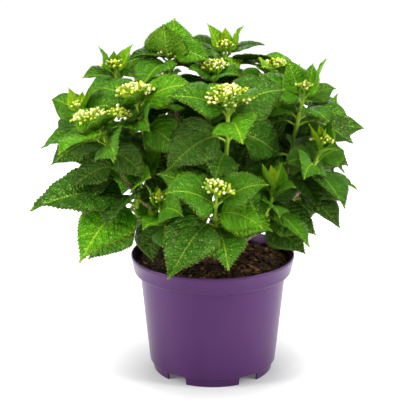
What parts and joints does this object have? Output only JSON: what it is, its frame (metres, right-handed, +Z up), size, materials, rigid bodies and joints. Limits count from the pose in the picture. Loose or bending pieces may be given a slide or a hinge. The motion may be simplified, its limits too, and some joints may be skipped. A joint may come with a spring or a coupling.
{
  "type": "potted hydrangea shrub",
  "caption": "Leafy deciduous flowering shrub in bud, its canes rising from a root crown in a round plastic nursery pot of compost.",
  "frame": {"origin": "on the ground, under the middle of the plant and its pot", "axes": "+Z straight up, -Y towards the side the plant faces, +X to the right seen from that side"},
  "size_m": [0.4501, 0.4413, 0.479],
  "materials": {
    "pot": "satin",
    "compost": "matte",
    "bark": "matte",
    "green_bark": "satin",
    "foliage": "satin"
  },
  "bodies": {
    "root": {"pot": "pot", "compost": "compost", "root_crown": "bark", "cane_front": "bark", "cane_front_left": "bark", "cane_left": "bark", "cane_back_left": "bark", "cane_back": "bark", "cane_right": "bark", "cane_front_right": "bark", "bough_front_low": "green_bark", "bough_front_left_small": "green_bark", "bough_front_left_high": "green_bark", "bough_left_side": "green_bark", "bough_left_foot": "green_bark", "bough_left_tip": "green_bark", "bough_middle": "green_bark", "bough_right_back": "green_bark", "bough_right_foot": "green_bark", "bough_right_mid": "green_bark", "bough_front_right_foot": "green_bark", "bough_back_high_1": "green_bark", "bough_back_high_2": "green_bark", "bough_back_high_3": "green_bark", "bough_back_low_1": "green_bark", "bough_back_low_2": "green_bark", "bough_back_low_3": "green_bark", "bough_back_low_4": "green_bark", "foliage_front_tall": "foliage", "foliage_front_low": "foliage", "foliage_front_left_small": "foliage", "foliage_left_front": "foliage", "foliage_front_left_high": "foliage", "foliage_left_side": "foliage", "foliage_left_foot": "foliage", "foliage_left_high": "foliage", "foliage_left_tip": "foliage", "foliage_top": "foliage", "foliage_middle": "foliage", "foliage_top_back": "foliage", "foliage_right_high": "foliage", "foliage_right_back": "foliage", "foliage_right_foot": "foliage", "foliage_right_low": "foliage", "foliage_right_mid": "foliage", "foliage_front_right_foot": "foliage", "foliage_back_high_1": "foliage", "foliage_back_high_2": "foliage", "foliage_back_high_3": "foliage", "foliage_back_low_1": "foliage", "foliage_back_low_2": "foliage", "foliage_back_low_3": "foliage", "foliage_back_low_4": "foliage"}
  },
  "joints": []
}
